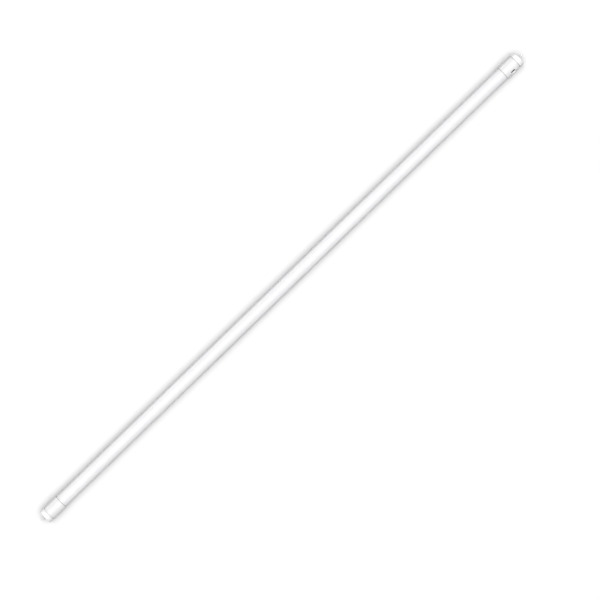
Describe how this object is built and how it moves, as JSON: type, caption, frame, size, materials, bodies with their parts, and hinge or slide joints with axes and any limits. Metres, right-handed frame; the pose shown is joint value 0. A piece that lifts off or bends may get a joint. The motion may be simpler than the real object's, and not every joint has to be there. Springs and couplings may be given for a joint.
{
  "type": "led light tube",
  "caption": "Straight opal tube lamp with a white cap at each end whose pinned head turns in its sleeve to aim the light; light boards, heat sink and driver inside",
  "frame": {"origin": "the middle of the lamp, on the tube's axis, halfway between the pins' tips", "axes": "+X along the tube to the end that isn't fed, -Y the way the light leaves, and the two pins of each end stand one above the other along Z at rest"},
  "size_m": [1.2124, 0.028, 0.028],
  "materials": {
    "opal_tube": "opal extruded polycarbonate, satin",
    "cap_plastic": "moulded white polycarbonate, satin gloss",
    "head_plastic": "moulded white polycarbonate, gloss",
    "pin_metal": "nickel-plated brass, polished",
    "aluminium_bar": "extruded, satin",
    "thermal_tape": "soft grey-white tape",
    "led_board_white": "white solder mask",
    "package_white": "moulded white frame",
    "phosphor": "yellow silicone fill",
    "tinned_copper": "tinned",
    "driver_green": "green solder mask",
    "insulating_film": "thin folded film",
    "fuse_body": "coated, satin",
    "varistor_blue": "dipped epoxy",
    "film_cap_yellow": "moulded case",
    "ferrite": "sintered, matt",
    "copper_winding": "enamelled copper",
    "winding_tape": "yellow polyester tape",
    "chip_black": "moulded epoxy",
    "can_sleeve": "shrunk dark sleeve",
    "bobbin_plastic": "moulded phenolic",
    "wire_brown": "insulated lead",
    "wire_blue": "insulated lead",
    "wire_red": "insulated lead",
    "wire_black": "insulated lead",
    "zinc_steel": "zinc plated",
    "spring_steel": "hardened strip",
    "pin_board_green": "green solder mask"
  },
  "bodies": {
    "tube": {"board_jumpers": "tinned_copper", "bridge_rectifier": "chip_black", "cap_screws": "zinc_steel", "choke_core": "ferrite", "choke_winding": "copper_winding", "control_chip": "chip_black", "dc_lead_negative": "wire_black", "dc_lead_positive": "wire_red", "detent_spring_left": "spring_steel", "detent_spring_right": "spring_steel", "diffuser_tube": "opal_tube", "driver_board": "driver_green", "driver_film": "insulating_film", "driver_resistors": "chip_black", "film_capacitor": "film_cap_yellow", "heat_sink": "aluminium_bar", "input_capacitor": "can_sleeve", "input_fuse": "fuse_body", "led_board_left": "led_board_white", "led_board_right": "led_board_white", "led_packages_left": "package_white", "led_packages_right": "package_white", "led_phosphor_left": "phosphor", "led_phosphor_right": "phosphor", "live_lead": "wire_brown", "neutral_lead": "wire_blue", "output_capacitor": "can_sleeve", "sleeve_left": "cap_plastic", "sleeve_right": "cap_plastic", "thermal_tape": "thermal_tape", "transformer_bobbin": "bobbin_plastic", "transformer_core": "ferrite", "transformer_winding": "winding_tape", "varistor": "varistor_blue"},
    "left_head": {"head_left": "head_plastic", "pin_board_left": "pin_board_green", "pins_left": "pin_metal", "retaining_ring_left": "spring_steel"},
    "right_head": {"head_right": "head_plastic", "pin_board_right": "pin_board_green", "pins_right": "pin_metal", "retaining_ring_right": "spring_steel", "shorting_link": "tinned_copper"}
  },
  "joints": [
    {"name": "left_head_turn", "type": "hinge", "parent": "tube", "child": "left_head", "pos_m": [-0.5886, 0, 0], "axis": [1, 0, 0], "range_deg": [-90, 90], "deforming": ["detent_spring_left", "live_lead", "neutral_lead"]},
    {"name": "right_head_turn", "type": "hinge", "parent": "tube", "child": "right_head", "pos_m": [0.5886, 0, 0], "axis": [1, 0, 0], "range_deg": [-90, 90], "deforming": ["detent_spring_right"]}
  ]
}
